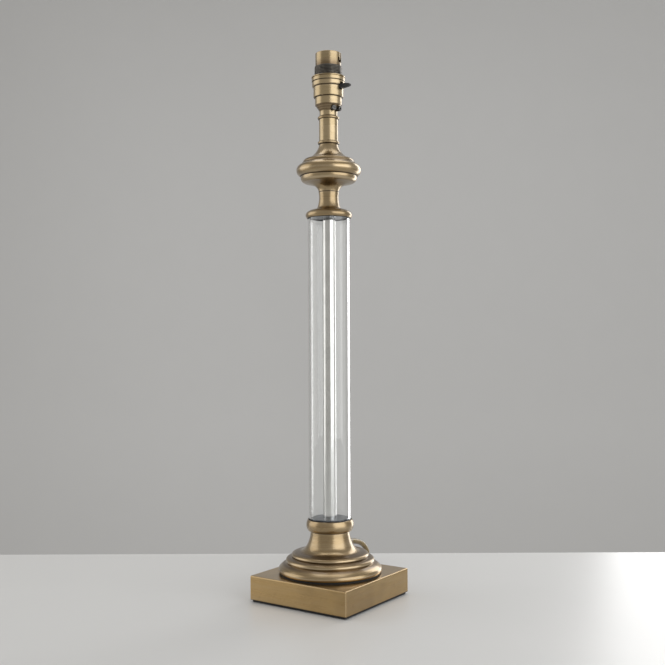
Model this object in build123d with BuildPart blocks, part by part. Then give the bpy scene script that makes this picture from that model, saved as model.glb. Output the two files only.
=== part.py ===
"""Column table lamp: a square plinth and a bell foot carry a clear glass column between two collars,
with a knop, a neck tube and a switched bayonet lampholder above. Millimetres, +Z up. The origin is on
the surface that the lamp stands on, on the column's axis; the front is -Y and the flex leaves at +Y."""

from build123d import *
from math import cos, radians, sin, tan
import os

# ---------------------------------------------------------------- driving dimensions

# Plinth
plinth_side = 113.2
plinth_height = 25.3
plinth_wall = 1.2
plinth_edge = 1.3
pad_thick = 2.0
pad_inset = 1.4
weight_gap = 1.5
weight_lift = 2.6
nut_recess_radius = 14.0
nut_recess_depth = 8.0

# Threaded rod that clamps the whole column
rod_radius = 5.0
rod_bore = 3.5
rod_slip = 0.15
nut_flats = 15.0
nut_thick = 4.0
washer_radius = 12.0
washer_thick = 1.2

# Bell foot: radii of its skirt, its two rings and its neck
shell_wall = 1.2
bell_gap = 1.5
bell_height = 39.4
skirt_radius = 51.4
ring_two_radius = 44.0
ring_one_radius = 38.3
bell_neck_radius = 19.3

# Glass column and its collars
glass_radius = 21.0
glass_wall = 2.0
glass_length = 308.0
tube_radius = 6.5
tube_wall = 1.0
gasket_lip = 0.6
gasket_floor = 1.0
gasket_show = 0.35
collar_radius = 23.6
collar_height = 11.8
collar_floor = 5.8
disc_thick = 7.4
disc_gap = 0.1
top_collar_radius = 23.3
top_collar_height = 8.6
top_collar_floor = 4.6
top_disc_thick = 3.4

# Knop and neck
bead_radius = 13.8
bead_height = 3.4
waist_radius = 9.7
waist_flare = 1.4
waist_lip = 0.5
waist_height = 14.2
knop_radius = 32.4
knop_lower_radius = 28.4
knop_lower_height = 15.6
knop_upper_height = 32.2
neck_radius = 9.5
neck_length = 21.7
neck_ring_radius = 10.9
neck_ring_height = 3.2
spacer_radius = 9.0
spacer_height = 5.2

# Lampholder for a 22 mm bayonet cap
cap_radius = 13.4
cap_cone_height = 5.5
cap_height = 13.4
holder_radius = 15.0
holder_bulge = 16.4
holder_height = 15.8
holder_bulge_height = 4.8
barrel_radius = 13.0
barrel_bore = 11.4
barrel_relief = 11.9
barrel_top_reach = 29.0
thread_radius = 13.9
thread_length = 15.4
shade_ring_radius = 16.7
shade_ring_height = 5.3
shade_ring_slip = 0.06
slot_width = 2.6
slot_depth = 10.2
slot_leg = 17.0
slot_notch = 2.4
mouth_depth = 26.0
insert_slip = 0.05
plunger_radius = 2.2
plunger_slip = 0.08
plunger_spread = 5.5
plunger_show = 3.5
plunger_length = 11.5
spring_radius = 1.5
spring_wire = 0.3
spring_turns = 4

# Switch lever
lever_pivot_reach = 11.0
lever_pivot_drop = 5.8
lever_tip_reach = 26.2
lever_tilt = -2.0
lever_width = 4.4
lever_root = 4.4
lever_tip = 2.8
pivot_pin_radius = 0.8
pivot_pin_length = 10.4
pivot_slip = 0.08

# Screws on the cap's cone
terminal_radius = 2.5
terminal_reach = 13.7
terminal_hole = 1.1
terminal_turn = 7.0
earth_screw_radius = 2.6
earth_screw_drop = 0.7
earth_screw_turn = -28.0

# Flex
cord_radius = 2.6
bush_tilt = 7.0
bush_mouth = (0.0, 36.0, 49.4)
bush_length = 20.0
bush_radius = 4.9
bush_tip_radius = 3.7
bush_flange_radius = 6.4
bush_flange_thick = 1.5
cord_gap = 0.45
hank_turn = 34.7
hank_half_width = 34.0
hank_near = 110.0
hank_straight = 36.0
hank_lead = 16.0
hank_folds = 6
tail_near = 104.0
tail_bend = 15.6
tie_thick = 0.8
tie_width = 8.0
tie_slack = 0.12

# Plug with three flat pins
plug_width = 45.0
plug_length = 48.0
plug_cover_thick = 10.5
plug_base_thick = 6.0
plug_corner = 11.0
plug_clearance = 0.15
grip_length = 7.5
grip_radius = 4.4
pin_width = 6.35
pin_thick = 4.0
pin_length = 17.7
earth_pin_width = 8.0
earth_pin_length = 22.7
pin_spread = 22.2
pin_row = 14.0
pin_root = 3.0
sleeve_length = 9.0
plug_screw_radius = 3.0

# ---------------------------------------------------------------- heights, from the table up

bell_base = plinth_height + bell_gap
bell_top = bell_base + bell_height
collar_top = bell_top + collar_height
glass_base = bell_top + collar_floor + gasket_floor
glass_top = glass_base + glass_length
top_collar_floor_z = glass_top + gasket_floor
top_collar_base = top_collar_floor_z + top_collar_floor - top_collar_height
top_collar_top = top_collar_base + top_collar_height
waist_base = top_collar_top + bead_height
knop_base = waist_base + waist_height
knop_seam = knop_base + knop_lower_height
knop_top = knop_seam + knop_upper_height
neck_base = knop_top + neck_ring_height
neck_top = neck_base + neck_length
spacer_base = neck_top + neck_ring_height
cap_base = spacer_base + spacer_height
holder_base = cap_base + cap_height
holder_top = holder_base + holder_height
barrel_top = holder_top + barrel_top_reach
insert_top = barrel_top - mouth_depth
seat_top = insert_top + plunger_show
barrel_base = holder_top - 1.3
rod_top = cap_base + 3.2
rod_base = weight_lift + nut_recess_depth - washer_thick - nut_thick - 1.0

os.makedirs("parts", exist_ok=True)


def write(part, name):
    """Label a finished piece and write it under its node's name."""
    part.part.label = name
    export_step(part.part, f"parts/{name}.step")


# ---------------------------------------------------------------- plinth

with BuildPart() as base_pad:
    with BuildSketch():
        RectangleRounded(plinth_side - 2 * pad_inset, plinth_side - 2 * pad_inset, 2.0)
    extrude(amount=pad_thick)
write(base_pad, "base_pad")

plinth_inside = plinth_side - 2 * plinth_wall
with BuildPart() as plinth_cover:
    with BuildSketch(Plane.XY.offset(pad_thick)):
        Rectangle(plinth_side, plinth_side)
    extrude(amount=plinth_height - pad_thick)
    fillet(plinth_cover.edges().filter_by(Axis.Z), plinth_edge)
    fillet(plinth_cover.faces().sort_by(Axis.Z)[-1].edges(), plinth_edge)
    with BuildSketch(Plane.XY.offset(pad_thick)):
        Rectangle(plinth_inside, plinth_inside)
    extrude(amount=plinth_height - pad_thick - plinth_wall, mode=Mode.SUBTRACT)
    with BuildSketch(Plane.XY.offset(pad_thick)):
        Circle(rod_radius + rod_slip)
    extrude(amount=plinth_height, mode=Mode.SUBTRACT)
write(plinth_cover, "plinth_cover")

weight_side = plinth_inside - 2 * weight_gap
with BuildPart() as plinth_weight:
    with BuildSketch(Plane.XY.offset(weight_lift)):
        RectangleRounded(weight_side, weight_side, 3.0)
        Circle(rod_radius + rod_slip, mode=Mode.SUBTRACT)
    extrude(amount=plinth_height - plinth_wall - weight_lift)
    with BuildSketch(Plane.XY.offset(weight_lift)):
        Circle(nut_recess_radius)
    extrude(amount=nut_recess_depth, mode=Mode.SUBTRACT)
write(plinth_weight, "plinth_weight")

washer_top = weight_lift + nut_recess_depth
with BuildPart() as base_washer:
    with BuildSketch(Plane.XY.offset(washer_top - washer_thick)):
        Circle(washer_radius)
        Circle(rod_radius + rod_slip, mode=Mode.SUBTRACT)
    extrude(amount=washer_thick)
write(base_washer, "base_washer")

with BuildPart() as base_nut:
    with BuildSketch(Plane.XY.offset(washer_top - washer_thick - nut_thick)):
        RegularPolygon(nut_flats / 2, 6, major_radius=False)
        Circle(rod_radius, mode=Mode.SUBTRACT)
    extrude(amount=nut_thick)
write(base_nut, "base_nut")

# ---------------------------------------------------------------- bell foot


def bell_outline(inset):
    """The bell's spun profile, drawn in the open sketch; inset moves it inwards and down by the wall."""

    def at(radius, height):
        return (radius - inset, bell_base + height - inset)

    ring_two_crease = ring_two_radius - 0.6
    ring_one_crease = ring_one_radius - 0.6
    with BuildSketch(Plane.XZ) as face:
        with BuildLine():
            Line((0, bell_base - inset), at(skirt_radius - 0.7, 0))
            roll = ThreePointArc(at(skirt_radius - 0.7, 0), at(skirt_radius, 2.2), at(skirt_radius - 1.1, 4.9))
            TangentArc(roll @ 1, at(ring_two_crease, 9.3), tangent=roll % 1)
            ring_two = ThreePointArc(
                at(ring_two_crease, 9.3),
                at(ring_two_radius, 11.3),
                at(ring_two_radius - 1.5, 13.4),
            )
            TangentArc(ring_two @ 1, at(ring_one_crease, 14.6), tangent=ring_two % 1)
            ring_one = ThreePointArc(
                at(ring_one_crease, 14.6),
                at(ring_one_radius, 16.3),
                at(ring_one_radius - 1.5, 18.2),
            )
            TangentArc(ring_one @ 1, at(ring_one_radius - 5.3, 19.2), tangent=ring_one % 1)
            cove = ThreePointArc(
                at(ring_one_radius - 5.3, 19.2),
                at(bell_neck_radius + 8.0, 21.0),
                at(bell_neck_radius + 3.5, 25.9),
            )
            TangentArc(cove @ 1, at(bell_neck_radius, bell_height), tangent=cove % 1)
            Line(at(bell_neck_radius, bell_height), (0, bell_top - inset))
            Line((0, bell_top - inset), (0, bell_base - inset))
        make_face()
    return face.sketch


bush_axis = (0.0, cos(radians(bush_tilt)), -sin(radians(bush_tilt)))
bush_plane = Plane(origin=bush_mouth, x_dir=(1, 0, 0), z_dir=bush_axis)

with BuildPart() as bell_gasket:
    with BuildSketch(Plane.XY.offset(plinth_height)):
        Circle(skirt_radius - 1.3)
        Circle(skirt_radius - 6.0, mode=Mode.SUBTRACT)
    extrude(amount=bell_gap)
write(bell_gasket, "bell_gasket")

with BuildPart() as foot_bell:
    revolve(bell_outline(0), axis=Axis.Z)
    revolve(bell_outline(shell_wall), axis=Axis.Z, mode=Mode.SUBTRACT)
    with BuildSketch(Plane.XY.offset(bell_base)):
        Circle(rod_radius + rod_slip)
    extrude(amount=bell_height, mode=Mode.SUBTRACT)
    with BuildSketch(bush_plane):
        Circle(bush_radius)
    extrude(amount=-bush_length, mode=Mode.SUBTRACT)
write(foot_bell, "foot_bell")

with BuildPart() as cord_bush:
    with BuildSketch(bush_plane.offset(-bush_length)):
        Circle(bush_flange_radius)
    extrude(amount=bush_flange_thick)
    with BuildSketch(bush_plane.offset(-bush_length)):
        Circle(bush_radius)
    extrude(amount=bush_length / 2)
    with BuildSketch(bush_plane.offset(-bush_length / 2)):
        Circle(bush_radius)
    with BuildSketch(bush_plane):
        Circle(bush_tip_radius)
    loft()
    with BuildSketch(bush_plane):
        Circle(cord_radius)
    extrude(amount=-bush_length, mode=Mode.SUBTRACT)
write(cord_bush, "cord_bush")

# ---------------------------------------------------------------- rod, and the flex inside it

inner_corner_z = bush_mouth[2] + bush_mouth[1] * sin(radians(bush_tilt)) / cos(radians(bush_tilt))
inner_bend = 14.0
window_height = 17.0
window_base = inner_corner_z - 5.5

with BuildPart() as threaded_rod:
    with BuildSketch(Plane.XY.offset(rod_base)):
        Circle(rod_radius)
        Circle(rod_bore, mode=Mode.SUBTRACT)
    extrude(amount=rod_top - rod_base)
    with BuildSketch(Plane.XZ.offset(-rod_radius)):
        with Locations((0, window_base + window_height / 2)):
            RectangleRounded(2 * cord_radius + 0.8, window_height, cord_radius)
    extrude(amount=rod_radius, mode=Mode.SUBTRACT)
write(threaded_rod, "threaded_rod")

with BuildPart() as inner_flex:
    with BuildLine() as inner_path:
        FilletPolyline(
            bush_mouth,
            (0, 0, inner_corner_z),
            (0, 0, rod_top + 2.0),
            radius=inner_bend,
        )
    with BuildSketch(bush_plane):
        Circle(cord_radius)
    sweep(path=inner_path.wires()[0])
write(inner_flex, "inner_flex")

# ---------------------------------------------------------------- glass column

pocket_radius = glass_radius + gasket_lip
disc_radius = glass_radius - glass_wall - disc_gap

with BuildPart() as lower_collar:
    with BuildSketch(Plane.XZ):
        with BuildLine():
            Polyline(
                (rod_radius + rod_slip, bell_top),
                (collar_radius - 3.6, bell_top),
                (collar_radius - 1.6, bell_top + 0.9),
            )
            ThreePointArc(
                (collar_radius - 1.6, bell_top + 0.9),
                (collar_radius, bell_top + collar_height * 0.5),
                (pocket_radius + 0.7, collar_top - 0.35),
            )
            Polyline(
                (pocket_radius + 0.7, collar_top - 0.35),
                (pocket_radius, collar_top),
                (pocket_radius, bell_top + collar_floor),
                (rod_radius + rod_slip, bell_top + collar_floor),
                (rod_radius + rod_slip, bell_top),
            )
        make_face()
    revolve(axis=Axis.Z)
write(lower_collar, "lower_collar")


def gasket(floor_z, way):
    """A dark rubber cup round one end of the glass, open upwards (way 1) or downwards (way -1)."""
    with BuildPart() as cup:
        with BuildSketch(Plane.XY.offset(floor_z)):
            Circle(pocket_radius)
            Circle(glass_radius - glass_wall, mode=Mode.SUBTRACT)
        extrude(amount=way * gasket_floor)
        lip = collar_height - collar_floor if way > 0 else top_collar_height - top_collar_floor
        with BuildSketch(Plane.XY.offset(floor_z)):
            Circle(pocket_radius)
            Circle(glass_radius, mode=Mode.SUBTRACT)
        extrude(amount=way * (lip + gasket_show))
    return cup


lower_gasket = gasket(bell_top + collar_floor, 1)
write(lower_gasket, "lower_gasket")
upper_gasket = gasket(top_collar_floor_z, -1)
write(upper_gasket, "upper_gasket")


def seat_disc(floor_z, thick):
    """A bright plug inside one end of the glass, bored for the centre tube."""
    with BuildPart() as disc:
        with BuildSketch(Plane.XY.offset(floor_z)):
            Circle(disc_radius)
            Circle(tube_radius + disc_gap, mode=Mode.SUBTRACT)
        extrude(amount=thick)
        chamfer(disc.edges().filter_by(GeomType.CIRCLE).group_by(SortBy.RADIUS)[-1], 0.5)
    return disc


lower_seat_disc = seat_disc(bell_top + collar_floor, disc_thick)
write(lower_seat_disc, "lower_seat_disc")
upper_seat_disc = seat_disc(top_collar_floor_z, -top_disc_thick)
write(upper_seat_disc, "upper_seat_disc")

with BuildPart() as glass_tube:
    with BuildSketch(Plane.XY.offset(glass_base)):
        Circle(glass_radius)
        Circle(glass_radius - glass_wall, mode=Mode.SUBTRACT)
    extrude(amount=glass_length)
write(glass_tube, "glass_tube")

with BuildPart() as centre_tube:
    with BuildSketch(Plane.XY.offset(bell_top + collar_floor)):
        Circle(tube_radius)
        Circle(tube_radius - tube_wall, mode=Mode.SUBTRACT)
    extrude(amount=top_collar_floor_z - bell_top - collar_floor)
write(centre_tube, "centre_tube")

with BuildPart() as upper_collar:
    with BuildSketch(Plane.XZ):
        with BuildLine():
            Polyline(
                (rod_radius + rod_slip, top_collar_top),
                (rod_radius + rod_slip, top_collar_floor_z),
                (pocket_radius, top_collar_floor_z),
                (pocket_radius, top_collar_base),
                (pocket_radius + 0.5, top_collar_base + 0.1),
            )
            shoulder = ThreePointArc(
                (pocket_radius + 0.5, top_collar_base + 0.1),
                (top_collar_radius, top_collar_base + 3.1),
                (top_collar_radius - 1.4, top_collar_base + 5.9),
            )
            TangentArc(shoulder @ 1, (bead_radius + 0.6, top_collar_top), tangent=shoulder % 1)
            Line((bead_radius + 0.6, top_collar_top), (rod_radius + rod_slip, top_collar_top))
        make_face()
    revolve(axis=Axis.Z)
write(upper_collar, "upper_collar")

# ---------------------------------------------------------------- knop and neck

with BuildPart() as waist_bead:
    with BuildSketch(Plane.XZ):
        with BuildLine():
            Polyline(
                (waist_radius + waist_flare, waist_base),
                (rod_radius + rod_slip, waist_base),
                (rod_radius + rod_slip, top_collar_top),
                (bead_radius, top_collar_top),
            )
            ThreePointArc(
                (bead_radius, top_collar_top),
                (bead_radius - 1.7, top_collar_top + 1.4),
                (waist_radius + waist_flare, waist_base),
            )
        make_face()
    revolve(axis=Axis.Z)
write(waist_bead, "waist_bead")

with BuildPart() as waist:
    with BuildSketch(Plane.XZ):
        with BuildLine():
            Polyline(
                (waist_radius + waist_lip, knop_base),
                (rod_radius + rod_slip, knop_base),
                (rod_radius + rod_slip, waist_base),
                (waist_radius + waist_flare, waist_base),
            )
            ThreePointArc(
                (waist_radius + waist_flare, waist_base),
                (waist_radius, waist_base + waist_height * 0.55),
                (waist_radius + waist_lip, knop_base),
            )
        make_face()
    revolve(axis=Axis.Z)
write(waist, "waist")


def knop_lower_outline(inset):
    """The underside of the knop, a shallow flaring bowl with a rolled rim."""

    def at(radius, height):
        return (radius - inset, knop_base + height + inset)

    with BuildSketch(Plane.XZ) as face:
        with BuildLine():
            Line((0, knop_base + inset), at(neck_radius + 0.5, 0))
            flare = ThreePointArc(at(neck_radius + 0.5, 0), at(neck_radius + 2.1, 3.9), at(neck_radius + 6.2, 7.1))
            TangentArc(flare @ 1, at(knop_lower_radius - 4.2, 9.4), tangent=flare % 1)
            ThreePointArc(
                at(knop_lower_radius - 4.2, 9.4),
                at(knop_lower_radius - 0.9, 11.6),
                at(knop_lower_radius - 0.4, knop_lower_height),
            )
            Polyline(
                at(knop_lower_radius - 0.4, knop_lower_height),
                (0, knop_seam + inset),
                (0, knop_base + inset),
            )
        make_face()
    return face.sketch


with BuildPart() as knop_lower:
    revolve(knop_lower_outline(0), axis=Axis.Z)
    revolve(knop_lower_outline(shell_wall), axis=Axis.Z, mode=Mode.SUBTRACT)
    with BuildSketch(Plane.XY.offset(knop_base)):
        Circle(rod_radius + rod_slip)
    extrude(amount=knop_lower_height, mode=Mode.SUBTRACT)
write(knop_lower, "knop_lower")


def knop_upper_outline():
    """The top of the knop: a fat torus, a small step with two grooves, and a cone up to the neck."""

    def at(radius, height):
        return (radius, knop_seam + height)

    step_radius = knop_radius - 6.0
    with BuildSketch(Plane.XZ) as face:
        with BuildLine():
            Line((0, knop_seam), at(knop_lower_radius - 0.6, 0))
            torus = ThreePointArc(at(knop_lower_radius - 0.6, 0), at(knop_radius, 5.4), at(knop_radius - 3.6, 11.6))
            TangentArc(torus @ 1, at(step_radius + 0.4, 13.5), tangent=torus % 1)
            Line(at(step_radius + 0.4, 13.5), at(step_radius - 0.4, 13.4))
            band = ThreePointArc(at(step_radius - 0.4, 13.4), at(step_radius - 1.0, 15.6), at(step_radius - 3.4, 17.4))
            Line(band @ 1, at(step_radius - 4.2, 17.3))
            ThreePointArc(
                at(step_radius - 4.2, 17.3),
                at(neck_radius + 4.7, 22.6),
                at(neck_radius - 0.2, knop_upper_height),
            )
            Polyline(
                at(neck_radius - 0.2, knop_upper_height),
                (0, knop_top),
                (0, knop_seam),
            )
        make_face()
    return face.sketch


with BuildPart() as knop_upper:
    revolve(knop_upper_outline(), axis=Axis.Z)
    with BuildSketch(Plane.XZ):
        with BuildLine():
            Polyline(
                (0, knop_seam),
                (knop_lower_radius - 0.6 - shell_wall, knop_seam),
                (knop_lower_radius - 0.6 - shell_wall, knop_seam + 9.4),
                (knop_radius - 8.4 - shell_wall, knop_seam + 13.4 - shell_wall),
                (neck_radius + 9.2 - shell_wall, knop_seam + 16.5 - shell_wall),
                (neck_radius + 4.6 - shell_wall, knop_seam + 20.6 - shell_wall),
                (neck_radius + 1.9 - shell_wall, knop_seam + 25.8 - shell_wall),
                (neck_radius - 0.4 - shell_wall, knop_top - shell_wall),
                (0, knop_top - shell_wall),
                (0, knop_seam),
            )
        make_face()
    revolve(axis=Axis.Z, mode=Mode.SUBTRACT)
    with BuildSketch(Plane.XY.offset(knop_seam)):
        Circle(rod_radius + rod_slip)
    extrude(amount=knop_upper_height, mode=Mode.SUBTRACT)
write(knop_upper, "knop_upper")


def neck_ring(base_z):
    """A half-round ring that closes one end of the neck tube."""
    with BuildPart() as ring:
        with BuildSketch(Plane.XZ):
            with BuildLine():
                Polyline(
                    (neck_radius - 0.2, base_z + neck_ring_height),
                    (rod_radius + rod_slip, base_z + neck_ring_height),
                    (rod_radius + rod_slip, base_z),
                    (neck_radius - 0.2, base_z),
                    (neck_ring_radius - 0.5, base_z + 0.3),
                )
                ThreePointArc(
                    (neck_ring_radius - 0.5, base_z + 0.3),
                    (neck_ring_radius, base_z + neck_ring_height * 0.5),
                    (neck_radius - 0.2, base_z + neck_ring_height),
                )
            make_face()
        revolve(axis=Axis.Z)
    return ring


lower_neck_ring = neck_ring(knop_top)
write(lower_neck_ring, "lower_neck_ring")
upper_neck_ring = neck_ring(neck_top)
write(upper_neck_ring, "upper_neck_ring")

with BuildPart() as neck_tube:
    with BuildSketch(Plane.XY.offset(neck_base)):
        Circle(neck_radius)
        Circle(neck_radius - shell_wall, mode=Mode.SUBTRACT)
    extrude(amount=neck_length)
write(neck_tube, "neck_tube")

with BuildPart() as top_spacer:
    with BuildSketch(Plane.XY.offset(spacer_base)):
        Circle(spacer_radius)
        Circle(rod_radius, mode=Mode.SUBTRACT)
    extrude(amount=spacer_height)
    chamfer(top_spacer.edges().filter_by(GeomType.CIRCLE).group_by(SortBy.RADIUS)[-1], 0.3)
write(top_spacer, "top_spacer")

# ---------------------------------------------------------------- lampholder

cone_top = cap_base + cap_cone_height
terminal_z = cap_base + 1.6
cap_wall = 1.4
boss_seat = spacer_radius + 0.15


def around(turn, reach, z):
    """A plane whose normal points outwards from the axis, turned from +X towards +Y."""
    angle = radians(turn)
    outwards = (cos(angle), sin(angle), 0)
    place = (reach * outwards[0], reach * outwards[1], z)
    return Plane(origin=place, x_dir=(-outwards[1], outwards[0], 0), z_dir=outwards)


with BuildPart() as holder_cap:
    with BuildSketch(Plane.XZ):
        with BuildLine():
            Polyline(
                (rod_radius, cap_base),
                (spacer_radius, cap_base),
                (cap_radius - 0.7, cone_top),
                (cap_radius, cone_top + 0.3),
                (cap_radius, holder_base),
                (cap_radius - cap_wall, holder_base),
                (cap_radius - cap_wall, cone_top + 0.6),
                (rod_radius + 3.2, rod_top),
                (rod_radius, rod_top),
                (rod_radius, cap_base),
            )
        make_face()
    revolve(axis=Axis.Z)
    with BuildSketch(around(terminal_turn, terminal_reach, terminal_z)):
        Circle(terminal_radius)
    extrude(amount=boss_seat - terminal_reach, mode=Mode.SUBTRACT)
    with BuildSketch(around(earth_screw_turn, terminal_reach, terminal_z)):
        Circle(earth_screw_radius)
    extrude(amount=boss_seat - terminal_reach, mode=Mode.SUBTRACT)
write(holder_cap, "holder_cap")

with BuildPart() as earth_terminal:
    with BuildSketch(around(terminal_turn, terminal_reach, terminal_z)):
        Circle(terminal_radius)
    extrude(amount=boss_seat - terminal_reach)
    chamfer(earth_terminal.faces().sort_by(Axis.X)[-1].edges(), 0.4)
    with BuildSketch(around(terminal_turn, terminal_reach, terminal_z)):
        Circle(terminal_hole)
    extrude(amount=-3.5, mode=Mode.SUBTRACT)
write(earth_terminal, "earth_terminal")

with BuildPart() as earth_screw:
    with BuildSketch(around(earth_screw_turn, terminal_reach - earth_screw_drop, terminal_z)):
        Circle(earth_screw_radius)
    extrude(amount=boss_seat - terminal_reach + earth_screw_drop)
    fillet(earth_screw.faces().sort_by(Axis.X)[-1].edges(), 0.5)
    with BuildSketch(around(earth_screw_turn, terminal_reach - earth_screw_drop, terminal_z)):
        Rectangle(2 * earth_screw_radius, 0.7)
    extrude(amount=-0.8, mode=Mode.SUBTRACT)
write(earth_screw, "earth_screw")

lever_pivot_z = holder_top - lever_pivot_drop
lever_slot_width = lever_width + 1.0
lever_slot_height = 7.6
body_bore = barrel_radius + insert_slip

with BuildPart() as holder_body:
    with BuildSketch(Plane.XZ):
        with BuildLine():
            bulge_base = holder_top - holder_bulge_height
            Polyline(
                (cap_radius - cap_wall, holder_base),
                (holder_radius - 0.9, holder_base),
                (holder_radius - 0.2, holder_base + 0.5),
                (holder_radius, holder_base + 1.2),
                (holder_radius, bulge_base),
                (holder_bulge - 0.3, bulge_base + 0.2),
                (holder_bulge, bulge_base + 0.9),
                (holder_bulge, holder_top - 0.5),
                (holder_bulge - 0.4, holder_top),
                (body_bore, holder_top),
                (body_bore, holder_base + 0.8),
                (cap_radius - cap_wall, holder_base + 0.8),
                (cap_radius - cap_wall, holder_base),
            )
        make_face()
    revolve(axis=Axis.Z)
    with BuildSketch(Plane.YZ):
        with Locations((0, lever_pivot_z + 0.3)):
            RectangleRounded(lever_slot_width, lever_slot_height, 1.0)
    extrude(amount=holder_bulge + 1, mode=Mode.SUBTRACT)
write(holder_body, "holder_body")

insert_base = holder_base + 0.8
with BuildPart() as holder_insert:
    with BuildSketch(Plane.XZ):
        with BuildLine():
            Polyline(
                (0, insert_base),
                (barrel_radius, insert_base),
                (barrel_radius, barrel_base),
                (barrel_relief - insert_slip, barrel_base),
                (barrel_relief - insert_slip, insert_top),
                (0, insert_top),
                (0, insert_base),
            )
        make_face()
    revolve(axis=Axis.Z)
    with BuildSketch(Plane.XY.offset(insert_base + 1.5)):
        with Locations((0, plunger_spread), (0, -plunger_spread)):
            Circle(plunger_radius + plunger_slip)
    extrude(amount=insert_top - insert_base, mode=Mode.SUBTRACT)
    with BuildSketch(Plane.YZ.offset(lever_pivot_reach - 3.2)):
        with Locations((0, lever_pivot_z + 0.3)):
            Rectangle(lever_slot_width, lever_slot_height)
    extrude(amount=barrel_radius, mode=Mode.SUBTRACT)
    with BuildSketch(Plane.XZ.offset(-pivot_pin_length / 2)):
        with Locations((lever_pivot_reach, lever_pivot_z)):
            Circle(pivot_pin_radius)
    extrude(amount=pivot_pin_length, mode=Mode.SUBTRACT)
write(holder_insert, "holder_insert")

with BuildPart() as holder_barrel:
    with BuildSketch(Plane.XY.offset(barrel_base)):
        Circle(barrel_radius)
        Circle(barrel_bore, mode=Mode.SUBTRACT)
    extrude(amount=barrel_top - barrel_base)
    with BuildSketch(Plane.XY.offset(barrel_base)):
        Circle(barrel_relief)
    extrude(amount=seat_top - barrel_base, mode=Mode.SUBTRACT)
    fillet(holder_barrel.faces().sort_by(Axis.Z)[-1].edges().group_by(SortBy.RADIUS)[-1], 0.6)
    # Each bayonet slot: straight in, round by the leg's angle, and back up into a notch.
    leg_width = barrel_radius * sin(radians(slot_leg))
    leg_base = barrel_top - slot_depth
    for way in (1, -1):
        with BuildSketch(around(slot_leg, 0, 0)):
            with Locations((0, barrel_top - slot_depth / 2)):
                Rectangle(slot_width, slot_depth)
            with Locations((-way * leg_width / 2, leg_base + slot_width / 2)):
                Rectangle(leg_width + slot_width, slot_width)
            with Locations((-way * leg_width, leg_base + (slot_width + slot_notch) / 2)):
                Rectangle(slot_width, slot_width + slot_notch)
        extrude(amount=way * (barrel_radius + 1), mode=Mode.SUBTRACT)
write(holder_barrel, "holder_barrel")

with BuildPart() as thread_sleeve:
    with BuildSketch(Plane.XY.offset(holder_top)):
        Circle(thread_radius)
        Circle(barrel_radius, mode=Mode.SUBTRACT)
    extrude(amount=thread_length)
write(thread_sleeve, "thread_sleeve")

ring_bore = thread_radius + shade_ring_slip
with BuildPart() as shade_ring:
    with BuildSketch(Plane.XZ):
        with BuildLine():
            lip_base = holder_top + shade_ring_height - 1.3
            Polyline(
                (ring_bore, holder_top),
                (shade_ring_radius - 0.5, holder_top),
                (shade_ring_radius, holder_top + 0.5),
                (shade_ring_radius, lip_base - 0.6),
                (shade_ring_radius - 0.8, lip_base - 0.3),
                (shade_ring_radius - 0.8, lip_base),
                (shade_ring_radius + 0.3, lip_base + 0.2),
                (shade_ring_radius + 0.3, lip_base + 0.9),
                (shade_ring_radius - 0.1, lip_base + 1.3),
                (ring_bore, lip_base + 1.3),
                (ring_bore, holder_top),
            )
        make_face()
    revolve(axis=Axis.Z)
write(shade_ring, "shade_ring")

for side, way in (("front", -1), ("back", 1)):
    plunger_base = seat_top - plunger_length
    with BuildPart() as plunger:
        with BuildSketch(Plane.XY.offset(plunger_base)):
            with Locations((0, way * plunger_spread)):
                Circle(plunger_radius)
        extrude(amount=plunger_length)
        fillet(plunger.faces().sort_by(Axis.Z)[-1].edges(), 0.9)
    write(plunger, f"contact_{side}")
    spring_base = insert_base + 1.5
    spring_height = plunger_base - spring_base
    with BuildPart() as spring:
        with BuildLine() as spring_path:
            Helix(
                pitch=(spring_height - 2 * spring_wire) / spring_turns,
                height=spring_height - 2 * spring_wire,
                radius=spring_radius,
                center=(0, way * plunger_spread, spring_base + spring_wire),
            )
        with BuildSketch(Plane(origin=spring_path.line @ 0, z_dir=spring_path.line % 0)):
            Rectangle(2 * spring_wire, 2 * spring_wire)
        sweep()
    write(spring, f"contact_spring_{side}")

# ---------------------------------------------------------------- switch lever

with BuildPart() as pivot_pin:
    with BuildSketch(Plane.XZ.offset(-pivot_pin_length / 2)):
        with Locations((lever_pivot_reach, lever_pivot_z)):
            Circle(pivot_pin_radius)
    extrude(amount=pivot_pin_length)
write(pivot_pin, "lever_pivot_pin")

lever_plane = Plane(
    origin=(lever_pivot_reach, 0, lever_pivot_z),
    x_dir=(cos(radians(lever_tilt)), 0, sin(radians(lever_tilt))),
    z_dir=(0, -1, 0),
)
lever_reach = (lever_tip_reach - lever_pivot_reach) / cos(radians(lever_tilt))
with BuildPart() as switch_lever:
    with BuildSketch(lever_plane):
        with BuildLine():
            Polyline((0, -lever_root / 2), (lever_reach * 0.62, -lever_root / 2 + 0.3))
            Line((lever_reach * 0.62, -lever_root / 2 + 0.3), (lever_reach - 1.2, -lever_tip / 2 + 0.3))
            ThreePointArc(
                (lever_reach - 1.2, -lever_tip / 2 + 0.3),
                (lever_reach, 0.3),
                (lever_reach - 1.2, lever_tip / 2 + 0.3),
            )
            Line((lever_reach - 1.2, lever_tip / 2 + 0.3), (lever_reach * 0.75, lever_root / 2 - 0.1))
            Line((lever_reach * 0.75, lever_root / 2 - 0.1), (0, lever_root / 2 - 0.3))
            Line((0, lever_root / 2 - 0.3), (0, -lever_root / 2))
        make_face()
        Circle(lever_root / 2)
    extrude(amount=lever_width / 2, both=True)
    fillet(switch_lever.faces().sort_by(Axis.X)[-1].edges().filter_by(GeomType.CIRCLE), 0.8)
    with BuildSketch(lever_plane):
        Circle(pivot_pin_radius + pivot_slip)
    extrude(amount=lever_width, both=True, mode=Mode.SUBTRACT)
write(switch_lever, "switch_lever")

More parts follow.
